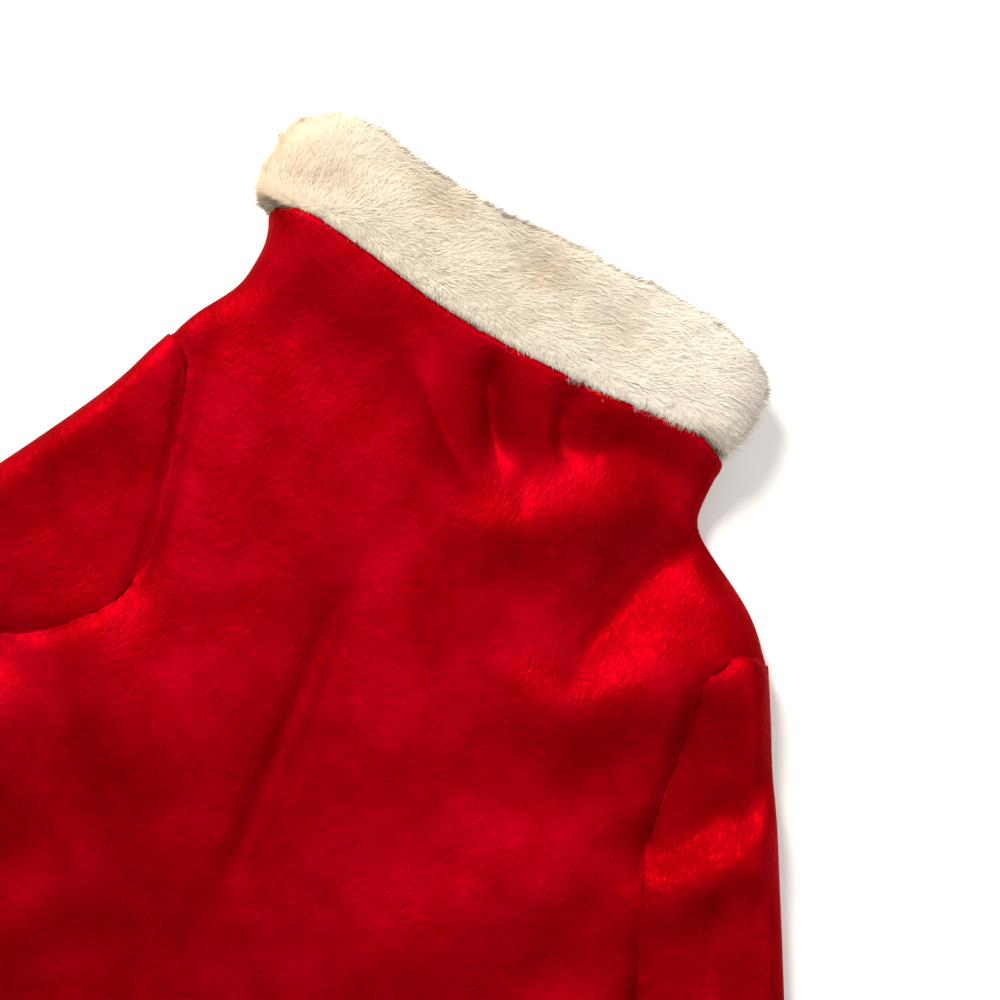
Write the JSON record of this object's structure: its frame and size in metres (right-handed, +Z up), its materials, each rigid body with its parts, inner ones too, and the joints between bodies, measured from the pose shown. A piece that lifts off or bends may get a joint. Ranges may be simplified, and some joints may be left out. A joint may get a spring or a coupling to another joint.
{
  "type": "dog dress",
  "caption": "Dog's plush dress with front-leg sleeves and a fur collar, laid flat on its belly side with the back up.",
  "frame": {"origin": "on the surface, under the middle of the laid garment's box", "axes": "+Y from the hem towards the neck, +Z up from the surface, +X across to the side on the right when seen from above with the neck at the top"},
  "size_m": [0.385, 0.398, 0.0265],
  "materials": {
    "plush": "short-pile plush velvet with a soft sheen",
    "fur": "ivory faux fur"
  },
  "bodies": {
    "root": {"front": "plush", "back": "plush", "sleeve_left": "plush", "sleeve_right": "plush", "collar": "fur"}
  },
  "joints": []
}
